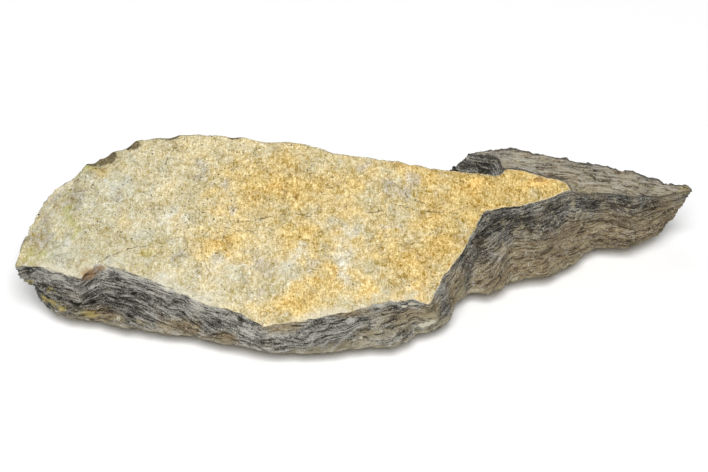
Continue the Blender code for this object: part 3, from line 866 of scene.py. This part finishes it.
def skin_group():
    """Shader group: the outer skin's mottling, stains, pores and cracks, and the painted highlight
    along its rim.
    """
    tree = bpy.data.node_groups.new("outer_skin", "ShaderNodeTree")
    number, colour = "NodeSocketFloat", "NodeSocketColor"
    masks = (
        "Rim", "Band", "Warm", "Pale", "Grey", "Moss", "Scar", "Pores", "Crack", "Crack run",
    )
    colours = (
        "Cream", "Ochre", "Orange", "White", "Skin grey", "Moss colour", "Scar colour",
        "Pit colour",
    )
    inputs = [("Place", "NodeSocketVector", None)]
    inputs += [(name, number, None) for name in masks]
    inputs += [(name, colour, None) for name in colours]
    outputs = [("Color", colour), ("Roughness", number), ("Height", number)]
    new_interface(tree, inputs, outputs)
    n = Nodes(tree)
    given = n.add("NodeGroupInput").outputs
    place = given["Place"]
    along = n.add("ShaderNodeSeparateXYZ", {0: place}).outputs[0]

    # Patterns from the broadest to the finest, and streaks at the left end.
    broad = n.wave(place, 9.0, 2.0, 0.5)
    clouds = n.wave(place, 4.2, 3.0, 0.5, 0.3)
    mottle = n.wave(place, 1.6, 3.0, 0.6, 0.8)
    worms = n.wave(place, 0.85, 3.0, 0.6, 1.4)
    grit = n.wave(place, 0.48, 2.0, 0.6)
    strokes = n.wave(n.stretch(place, 0.42, 1.5, 1.5), 1.0, 2.0, 0.6, 0.5)
    hue = n.wave(place, 5.0, 3.0, 0.55, 0.4)

    end = n.step(along, -56.0, -84.0)
    turned = n.add("ShaderNodeVectorRotate", {"Vector": place, "Angle": END_TURN}).outputs[0]
    streaks = n.product(n.wave(n.stretch(turned, 9.0, 1.1, 4.0), 1.0, 4.0, 0.6, 0.3), end)

    # Hue: warmer towards the right, then greyed, bleached and greened in patches.
    warm = n.total(
        n.math("SUBTRACT", n.step(along, -80.0, 55.0), 0.5),
        n.product(given["Warm"], 0.8), n.product(clouds, 0.3), n.product(broad, 0.45),
        n.product(mottle, 0.12),
    )
    warm_share = n.step(warm, -0.6, 1.0)
    look = n.mix(warm_share, given["Cream"], given["Ochre"])
    look = n.mix(n.product(n.step(warm, 0.9, 1.8), 0.7), look, given["Orange"])
    grey = n.total(
        n.product(given["Grey"], 1.1), n.product(hue, 0.6), n.product(clouds, -0.25),
        n.product(streaks, 0.7), n.product(end, 0.2),
    )
    look = n.mix(n.product(n.step(grey, 0.3, 1.3), 0.7), look, given["Skin grey"])
    pale = n.total(n.product(given["Pale"], 1.1), n.product(hue, -0.45), n.product(clouds, -0.3))
    pale_share = n.step(pale, 0.2, 1.3)
    look = n.mix(n.product(pale_share, 0.62), look, given["White"])
    moss = n.total(given["Moss"], n.product(hue, -0.4), n.product(streaks, -0.6))
    look = n.mix(n.product(n.step(moss, 0.4, 1.0), 0.7), look, given["Moss colour"])

    # Brightness: darker spots are browner, and lighter ones whiter.
    leather = n.line(n.noise(place, 1.1, 3.0, 0.55, 1.4), 0.5, 0.05)
    vein = n.line(n.noise(place, 2.6, 4.0, 0.6, 1.2), 0.5, 0.03)
    vein = n.product(vein, n.step(broad, -0.2, 0.5))
    groove = n.line(n.noise(place, 3.4, 4.0, 0.6, 1.6), 0.5, 0.022)
    groove = n.product(groove, n.step(clouds, 0.2, -0.6))
    fine = n.total(
        n.product(mottle, 0.30), n.product(worms, 0.30), n.product(grit, 0.16),
        n.product(strokes, 0.24), n.product(leather, -0.22), n.product(groove, -0.3),
    )
    amount = n.math("MULTIPLY_ADD", warm_share, 0.5, 0.72)
    amount = n.math("MULTIPLY_ADD", pale_share, -0.45, amount)
    tone = n.total(
        n.product(broad, 0.07), n.product(clouds, 0.10), n.product(fine, amount),
        n.product(vein, 0.28), 0.045,
    )
    tint = n.vector("MULTIPLY_ADD", n.spread(tone), (0.76, 1.0, 1.75), (1.0, 1.0, 1.0))
    drift = n.vector("MULTIPLY_ADD", n.spread(hue), (0.02, -0.02, -0.10), (1.0, 1.0, 1.0))
    look = n.vector("MULTIPLY", n.vector("MULTIPLY", look, tint), drift)
    left = n.spread(n.step(along, -35.0, -78.0))
    shade = n.vector("MULTIPLY_ADD", left, (-0.18, -0.165, -0.17), (1.0, 1.0, 1.0))
    look = n.vector("MULTIPLY", look, shade)

    # The painted highlight along the rim, as a pale band on the front rims and a thin pale line
    # inside the whole rim, and the scars of lost flakes.
    edge = n.math("MULTIPLY_ADD", mottle, 0.3, given["Rim"])
    wide_highlight = n.product(n.step(edge, 3.0, 0.5), n.step(given["Band"], 0.35, 0.9), 0.7)
    narrow_highlight = n.product(n.step(given["Rim"], 0.5, 0.15), n.step(worms, -0.8, 0.4), 0.45)
    look = n.mix(n.math("MAXIMUM", wide_highlight, narrow_highlight), look, given["White"])
    scar = n.total(given["Scar"], n.product(mottle, 0.22))
    scar_share = n.step(scar, 0.32, 0.5)
    scarred = n.mix(n.step(worms, -0.6, 0.9), given["Pit colour"], given["Scar colour"])
    look = n.mix(scar_share, look, scarred)

    # Pores, a share of the cells each with its own width and depth, and hairline cracks.
    cells = n.cells(place, 0.95)
    chance = n.add("ShaderNodeSeparateColor", {0: cells.outputs["Color"]}).outputs
    crowd = n.total(n.product(given["Pores"], 0.55), n.product(mottle, 0.18), 0.08)
    chosen = n.math("LESS_THAN", chance[0], crowd)
    reach = n.math("MULTIPLY_ADD", chance[1], 0.16, 0.14)
    holes = n.product(n.math("LESS_THAN", cells.outputs["Distance"], reach), chosen)
    deep = n.math("MULTIPLY_ADD", chance[2], 0.5, 0.35)
    look = n.mix(n.product(holes, deep), look, given["Pit colour"])

    wander = n.math("MULTIPLY_ADD", worms, 0.25, given["Crack"])
    split = n.product(n.line(wander, 0.0, 0.17), given["Crack run"])
    split = n.product(split, n.step(n.noise(place, 1.9, 2.0), 0.44, 0.56))
    look = n.mix(n.product(split, 0.75), look, given["Pit colour"])

    height = n.total(
        n.product(clouds, 0.07), n.product(mottle, 0.06), n.product(worms, 0.06),
        n.product(grit, 0.03), n.product(strokes, 0.04), n.product(leather, -0.07),
        n.product(groove, -0.12), n.product(holes, -0.2),
        n.product(split, -0.25), n.product(scar_share, -0.3),
    )
    rough = n.math("MULTIPLY_ADD", grit, 0.08, 0.78)
    out = n.add("NodeGroupOutput")
    for name, value in (("Color", look), ("Roughness", rough), ("Height", height)):
        n.feed(out.inputs[name], value)
    return tree


def break_group():
    """Shader group: the broken faces' fibres, iron stains, worn edges and crusts, with painted shade
    in their hollows and painted highlight on their ridges.
    """
    tree = bpy.data.node_groups.new("broken_face", "ShaderNodeTree")
    number, colour = "NodeSocketFloat", "NodeSocketColor"
    masks = ("Relief", "Height above floor", "Brown", "Tan", "Dark", "Gold", "Feather", "Chip")
    colours = (
        "Charcoal", "Slate", "Thread", "Brown colour", "Rust", "Tan colour", "Gold colour",
        "Chip colour",
    )
    inputs = [("Place", "NodeSocketVector", None), ("Grain", "NodeSocketVector", None)]
    inputs += [(name, number, None) for name in masks]
    inputs += [(name, colour, None) for name in colours]
    outputs = [("Color", colour), ("Roughness", number), ("Height", number)]
    new_interface(tree, inputs, outputs)
    n = Nodes(tree)
    given = n.add("NodeGroupInput").outputs
    place, grain = given["Place"], given["Grain"]

    # Fibres along the grain, pale strands, dark gaps and, on the right, torn flakes' edges.
    broad = n.wave(place, 7.0, 3.0, 0.55)
    bundles = n.wave(n.stretch(grain, 7.0, 7.0, 0.8), 1.0, 4.0, 0.65)
    threads = n.wave(n.stretch(grain, 3.6, 3.6, 0.26), 1.0, 3.0, 0.7)
    grit = n.wave(place, 0.36, 3.0, 0.7)
    blots = n.wave(place, 2.0, 4.0, 0.62, 0.6)
    strand = n.line(n.noise(n.stretch(grain, 5.0, 5.0, 0.8), 1.0, 3.0, 0.55), 0.5, 0.035)
    strand = n.product(strand, n.step(blots, -0.5, 0.5))
    gaps = n.step(n.noise(n.stretch(grain, 9.0, 9.0, 0.45), 1.0, 3.0, 0.6), 0.42, 0.35)
    along = n.add("ShaderNodeSeparateXYZ", {0: place}).outputs[0]
    right = n.step(along, 20.0, 45.0)
    turn = {"Vector": place, "Angle": FLAKE_RISE}
    rising = n.add("ShaderNodeVectorRotate", turn, rotation_type="Y_AXIS").outputs[0]
    slanted = n.stretch(rising, 4.0, 2.0, 1.5)
    terrace = n.math("FRACT", n.product(n.noise(slanted, 1.0, 1.5, 0.5, 0.3), 4.0))
    flake = n.product(n.step(terrace, 0.6, 0.95), right, n.step(blots, -0.1, 0.5))

    # Brightness, from charcoal over slate to pale thread, with painted shade in the relief's hollows
    # and painted highlight on its ridges.
    open_end = n.step(along, -30.0, -70.0)
    tone = n.total(
        n.product(bundles, 0.55), n.product(threads, 1.15), n.product(grit, 0.95),
        # The dark patches' share is painted shade on the notch's flank and under the tongue's rim,
        # and darker colour on the front-left wall.
        n.product(broad, 0.2), n.product(given["Relief"], 0.8), n.product(given["Dark"], -0.95),
        n.product(given["Feather"], 0.45), n.product(gaps, -0.7), n.product(open_end, -0.25),
        n.product(right, -0.12), 0.55,
    )
    look = n.mix(n.step(tone, -0.6, 0.6), given["Charcoal"], given["Slate"])
    look = n.mix(n.product(n.step(tone, 0.3, 1.7), 0.95), look, given["Thread"])

    # Iron stain, low down on the right and in patches, with rust in its middle.
    low = n.step(given["Height above floor"], 18.0, 10.0)
    brown = n.total(
        given["Brown"], n.product(broad, 0.3), n.product(blots, 0.15),
        n.product(right, n.math("MULTIPLY_ADD", low, 0.35, 0.15)), 0.08,
    )
    umber = n.mix(0.15, given["Charcoal"], given["Brown colour"])
    tinted = n.mix(n.step(tone, -0.7, 0.5), umber, given["Brown colour"])
    tinted = n.mix(n.product(n.step(tone, 0.2, 1.5), 0.95), tinted, given["Tan colour"])
    look = n.mix(n.product(n.step(brown, 0.1, 0.9), 0.95), look, tinted)
    rust = n.total(n.product(blots, 0.5), n.product(given["Brown"], 0.45), n.product(threads, 0.2))
    look = n.mix(n.product(n.step(rust, 0.75, 1.3), 0.5), look, given["Rust"])

    # Clay and yellow crusts.
    clay = n.total(given["Tan"], n.product(blots, 0.25), n.product(grit, 0.2))
    clay = n.product(n.step(clay, 0.3, 0.9), n.step(tone, -0.7, 0.3), 0.8)
    look = n.mix(clay, look, given["Tan colour"])
    olive = n.product(open_end, n.step(given["Height above floor"], 12.0, 7.0), 0.35)
    gold = n.total(
        given["Gold"], n.product(blots, 0.35), n.product(grit, 0.45), n.product(threads, 0.25),
        olive,
    )
    look = n.mix(n.product(n.step(gold, 0.6, 1.1), 0.8), look, given["Gold colour"])

    # The worn lower edge, frayed pale fibres, specks, flakes' edges and chips.
    foot = n.math("MULTIPLY_ADD", blots, 0.6, given["Height above floor"])
    worn = n.step(foot, EDGE_LIFT + 1.4, EDGE_LIFT + 0.2)
    look = n.mix(n.product(worn, 0.6), look, given["Tan colour"])
    frayed = n.product(given["Feather"], n.step(threads, -0.5, 0.6), 0.75)
    cells = n.cells(place, 0.8)
    chance = n.add("ShaderNodeSeparateColor", {0: cells.outputs["Color"]}).outputs
    near = n.math("LESS_THAN", cells.outputs["Distance"], 0.25)
    specks = n.product(near, n.math("LESS_THAN", chance[0], 0.06))
    pale = n.math("MAXIMUM", n.math("MAXIMUM", n.product(strand, 0.65), frayed), specks)
    look = n.mix(n.product(pale, n.step(tone, -0.9, 0.1)), look, given["Thread"])
    ochre = n.mix(0.5, given["Thread"], given["Gold colour"])
    look = n.mix(n.product(flake, 0.8), look, ochre)
    chip = n.step(n.math("MULTIPLY_ADD", grit, 0.08, given["Chip"]), 0.42, 0.52)
    look = n.mix(chip, look, given["Chip colour"])

    height = n.total(
        n.product(bundles, 0.16), n.product(threads, 0.20), n.product(grit, 0.15),
        n.product(strand, 0.12), n.product(gaps, -0.22), n.product(chip, 0.15),
        n.product(flake, 0.12),
    )
    rough = n.math("MULTIPLY_ADD", threads, 0.08, 0.72)
    out = n.add("NodeGroupOutput")
    for name, value in (("Color", look), ("Roughness", rough), ("Height", height)):
        n.feed(out.inputs[name], value)
    return tree


def bone_material(colours):
    """Outer skin over fibrous breaks, parted along the rim."""
    material = bpy.data.materials.new("fossil_bone_finish")
    material.use_nodes = True
    material.node_tree.nodes.clear()
    n = Nodes(material.node_tree)

    def kept(name):
        return n.add("ShaderNodeAttribute", attribute_name=name).outputs["Fac"]

    metres = n.add("ShaderNodeTexCoord").outputs["Object"]
    place = n.vector("DIVIDE", metres, (MM, MM, MM))
    parts = n.add("ShaderNodeSeparateXYZ", {0: place}).outputs
    grain = n.add("ShaderNodeCombineXYZ", {0: parts[0], 1: parts[1], 2: kept("layer")}).outputs[0]
    crest = n.add("ShaderNodeVectorRotate", {"Vector": place, "Angle": CREST_TURN}).outputs[0]
    roof = n.step(kept("roof"), -0.3, 0.6)
    grain = n.mix(roof, grain, n.stretch(crest, 2.2, 0.28, 2.6))
    brown = n.math("MAXIMUM", kept("brown"), n.product(roof, 0.4))
    frayed = n.math("MAXIMUM", kept("feather"), n.product(roof, 0.6))
    rim = kept("rim")

    masks = ("Band", "Warm", "Pale", "Grey", "Moss", "Scar", "Pores", "Crack", "Crack run")
    inputs = {name: kept(name.lower().replace(" ", "_")) for name in masks}
    inputs |= {
        "Place": place, "Rim": rim, "Cream": colours.cream, "Ochre": colours.ochre,
        "Orange": colours.orange, "White": colours.white, "Skin grey": colours.skin_grey,
        "Moss colour": colours.moss, "Scar colour": colours.scar, "Pit colour": colours.pit,
    }
    skin = n.add("ShaderNodeGroup", inputs, node_tree=skin_group())

    inputs = {name: kept(name.lower()) for name in ("Relief", "Tan", "Dark", "Gold", "Chip")}
    inputs |= {
        "Place": place, "Grain": grain, "Height above floor": parts[2], "Brown": brown,
        "Feather": frayed, "Charcoal": colours.charcoal, "Slate": colours.slate,
        "Thread": colours.thread, "Brown colour": colours.brown, "Rust": colours.rust,
        "Tan colour": colours.tan, "Gold colour": colours.gold, "Chip colour": colours.white,
    }
    torn = n.add("ShaderNodeGroup", inputs, node_tree=break_group())

    # Skin inside the rim and break outside it, with a fringe of fibres where it is feathered.
    fringe = n.wave(n.stretch(grain, 2.5, 2.5, 0.5), 1.0, 3.0, 0.6)
    feather = kept("feather")
    fringe = n.product(fringe, n.math("MULTIPLY_ADD", feather, 0.8, 0.08))
    ragged = n.total(n.product(n.wave(place, 0.9, 3.0, 0.6), 0.12), fringe, rim)
    soft = n.math("MULTIPLY_ADD", feather, 1.1, 0.12)
    share = n.step(ragged, n.product(soft, -1.0), n.math("MULTIPLY", soft, 0.4))
    look = n.mix(share, torn.outputs["Color"], skin.outputs["Color"])
    run = n.product(n.wave(n.stretch(place, 0.9, 0.5, 0.5), 1.0, 4.0, 0.65), 0.3)
    stain = n.step(n.total(kept("stain"), run), 0.25, 0.8)
    look = n.mix(n.product(stain, 0.7), look, colours.rust)
    rough_skin = n.product(share, skin.outputs["Roughness"])
    rough_torn = n.product(n.math("SUBTRACT", 1.0, share), torn.outputs["Roughness"])
    high_skin = n.product(share, skin.outputs["Height"])
    high_torn = n.product(n.math("SUBTRACT", 1.0, share), torn.outputs["Height"])
    bump = n.add("ShaderNodeBump", {"Height": n.total(high_skin, high_torn), "Distance": MM})
    shader = n.add("ShaderNodeBsdfPrincipled", {"Base Color": look, "Normal": bump.outputs[0]})
    n.feed(shader.inputs["Roughness"], n.total(rough_skin, rough_torn))
    shader.inputs["Specular IOR Level"].default_value = 0.3
    output = n.add("ShaderNodeOutputMaterial")
    n.feed(output.inputs["Surface"], shader.outputs[0])
    return material


def floor_material(colour):
    """Plain pale paper with the faintest grain."""
    material = bpy.data.materials.new("pale_floor")
    material.use_nodes = True
    material.node_tree.nodes.clear()
    n = Nodes(material.node_tree)
    place = n.add("ShaderNodeTexCoord").outputs["Object"]
    grain = n.noise(place, 0.004, 2.0)
    shader = n.add("ShaderNodeBsdfPrincipled", {"Base Color": colour, "Roughness": 0.9})
    bump = n.add("ShaderNodeBump", {"Height": grain, "Distance": 0.00001})
    n.feed(shader.inputs["Normal"], bump.outputs[0])
    output = n.add("ShaderNodeOutputMaterial")
    n.feed(output.inputs["Surface"], shader.outputs[0])
    return material


def add_light(name, place, size, power):
    """A square area light that faces the origin."""
    data = bpy.data.lights.new(name, "AREA")
    data.shape = "SQUARE"
    data.size = size
    data.energy = power
    light = bpy.data.objects.new(name, data)
    light.location = place
    light.rotation_euler = (-Vector(place)).to_track_quat("-Z", "Y").to_euler()
    bpy.context.scene.collection.objects.link(light)
    return light


def add_camera(stage):
    """The camera, looking down at the bone's front."""
    data = bpy.data.cameras.new("camera")
    data.lens = stage.focal_length
    data.sensor_width = 36.0
    data.clip_start = 0.01
    camera = bpy.data.objects.new("camera", data)
    aim = Vector((-MIDDLE[0] * MM, (AIM_Y - MIDDLE[1]) * MM, stage.aim_height))
    back = stage.camera_distance * math.cos(stage.camera_elevation)
    up = stage.camera_distance * math.sin(stage.camera_elevation)
    camera.location = aim + Vector((0.0, -back, up))
    camera.rotation_euler = (aim - camera.location).to_track_quat("-Z", "Y").to_euler()
    bpy.context.scene.collection.objects.link(camera)
    bpy.context.scene.camera = camera


class OBJECT_OT_fossil_bone(bpy.types.Operator):
    """Builds the finished bone section over its solid"""

    bl_idname = "object.fossil_bone"
    bl_label = "Bone section"

    def execute(self, context):
        scene = context.scene
        piece = bpy.data.objects.new("bone_surface", coarse_copy())
        scene.collection.objects.link(piece)
        unwrap(piece)
        subdivide(piece)
        mark_surface(piece.data)
        material = bone_material(scene.fossil_colours)
        apply_relief(piece, scene.fossil_relief, material)
        if len(piece.data.polygons) == 0:
            raise RuntimeError("the bone's relief left no faces")
        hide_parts(SOLID)
        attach(piece, BODY)
        return {"FINISHED"}


class OBJECT_OT_fossil_stage(bpy.types.Operator):
    """Adds the pale floor, the soft lights and the camera"""

    bl_idname = "object.fossil_stage"
    bl_label = "Stage"

    def execute(self, context):
        scene = context.scene
        stage = scene.fossil_stage
        bpy.ops.mesh.primitive_plane_add(size=stage.floor_size)
        floor = context.object
        floor.name = "floor"
        floor.data.materials.append(floor_material(stage.floor_colour))
        world = bpy.data.worlds.new("soft_sky")
        world.use_nodes = True
        sky = world.node_tree.nodes["Background"]
        sky.inputs["Color"].default_value = (1.0, 1.0, 1.0, 1.0)
        sky.inputs["Strength"].default_value = stage.sky_strength
        scene.world = world
        add_light("key", KEY_PLACE, stage.light_size, stage.key_power)
        add_light("fill", FILL_PLACE, stage.light_size, stage.fill_power)
        add_camera(stage)
        scene.view_settings.view_transform = "Standard"
        return {"FINISHED"}


class VIEW3D_PT_fossil(bpy.types.Panel):
    """Lists the bone's and the stage's operators and settings"""

    bl_label = "Fossil bone section"
    bl_idname = "VIEW3D_PT_fossil"
    bl_space_type = "VIEW_3D"
    bl_region_type = "UI"
    bl_category = "Fossil"

    def draw(self, context):
        layout = self.layout
        for operator in OPERATORS:
            layout.operator(operator.bl_idname)
        for settings in SETTINGS:
            group = getattr(context.scene, settings)
            for name in group.__annotations__:
                layout.prop(group, name)


OPERATORS = (OBJECT_OT_fossil_bone, OBJECT_OT_fossil_stage)
CLASSES = (BoneRelief, BoneColours, StageSettings, *OPERATORS, VIEW3D_PT_fossil)
SETTINGS = {
    "fossil_relief": BoneRelief, "fossil_colours": BoneColours, "fossil_stage": StageSettings,
}


def register():
    for item in CLASSES:
        bpy.utils.register_class(item)
    for name, group in SETTINGS.items():
        setattr(bpy.types.Scene, name, bpy.props.PointerProperty(type=group))


def unregister():
    for name in SETTINGS:
        delattr(bpy.types.Scene, name)
    for item in reversed(CLASSES):
        bpy.utils.unregister_class(item)


def main():
    register()
    bpy.ops.object.fossil_bone()
    bpy.ops.object.fossil_stage()


if __name__ == "__main__":
    main()
